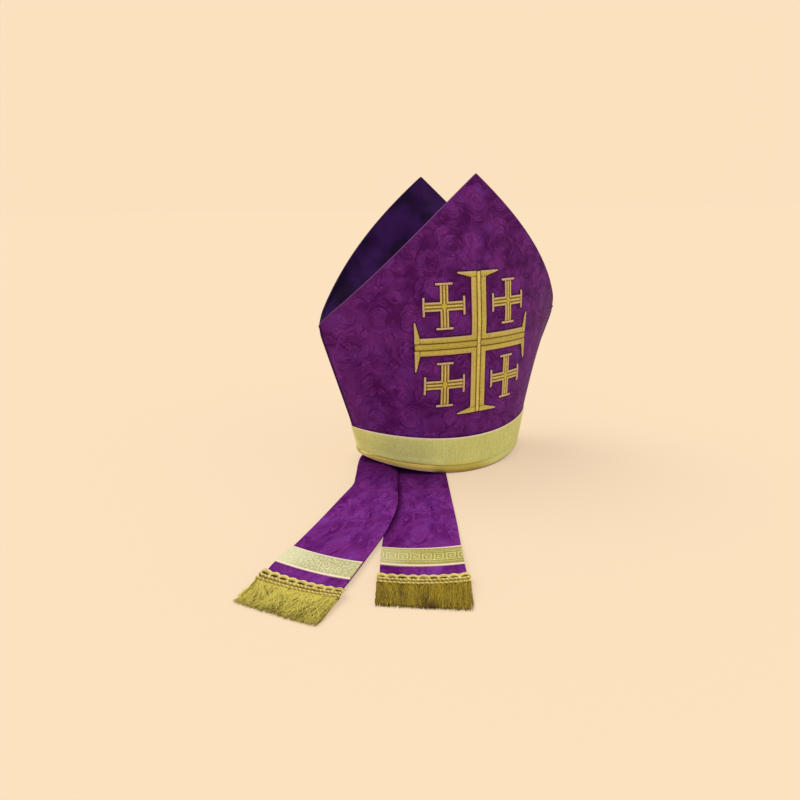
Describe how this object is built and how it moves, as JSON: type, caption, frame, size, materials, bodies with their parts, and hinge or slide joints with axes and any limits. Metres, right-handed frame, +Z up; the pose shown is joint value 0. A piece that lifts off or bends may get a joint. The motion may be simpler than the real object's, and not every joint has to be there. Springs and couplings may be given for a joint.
{
  "type": "bishop mitre",
  "caption": "Folding ceremonial hat with two pointed shields, a deep cleft between them, an embroidered cross, a gold rim band and two fringed lappets lying in front.",
  "frame": {"origin": "middle of the front rim's underside, on the surface that the mitre stands on", "axes": "+Z up, -Y out of the front panel, +X to the viewer's right"},
  "size_m": [0.5049, 0.4099, 0.3329],
  "materials": {
    "front_panel": "tone-on-tone silk damask, purple",
    "back_panel": "tone-on-tone silk damask, purple",
    "cleft_lining_front": "dark purple satin",
    "cleft_lining_back": "dark purple satin",
    "rim_band": "pale gold galloon with fine ribs",
    "rim_binding": "deep gold rolled edge",
    "cross_main": "gold satin stitch with dark outlines",
    "crosslet_upper_left": "gold satin stitch with dark outlines",
    "crosslet_upper_right": "gold satin stitch with dark outlines",
    "crosslet_lower_left": "gold satin stitch with dark outlines",
    "crosslet_lower_right": "gold satin stitch with dark outlines",
    "lappet_left": "tone-on-tone silk damask, purple",
    "lappet_right": "tone-on-tone silk damask, purple",
    "galloon_left": "pale gold galloon with a woven key pattern",
    "galloon_right": "pale gold galloon with a woven key pattern",
    "braid_left": "gold gimp braid with a scalloped edge and two cords",
    "braid_right": "gold gimp braid with a scalloped edge and two cords",
    "fringe_left": "gold thread fringe",
    "fringe_right": "gold thread fringe"
  },
  "bodies": {
    "root": {"front_panel": "front_panel", "back_panel": "back_panel", "cleft_lining_front": "cleft_lining_front", "cleft_lining_back": "cleft_lining_back", "rim_band": "rim_band", "rim_binding": "rim_binding", "cross_main": "cross_main", "crosslet_upper_left": "crosslet_upper_left", "crosslet_upper_right": "crosslet_upper_right", "crosslet_lower_left": "crosslet_lower_left", "crosslet_lower_right": "crosslet_lower_right", "lappet_left": "lappet_left", "lappet_right": "lappet_right", "galloon_left": "galloon_left", "galloon_right": "galloon_right", "braid_left": "braid_left", "braid_right": "braid_right", "fringe_left": "fringe_left", "fringe_right": "fringe_right"}
  },
  "joints": []
}
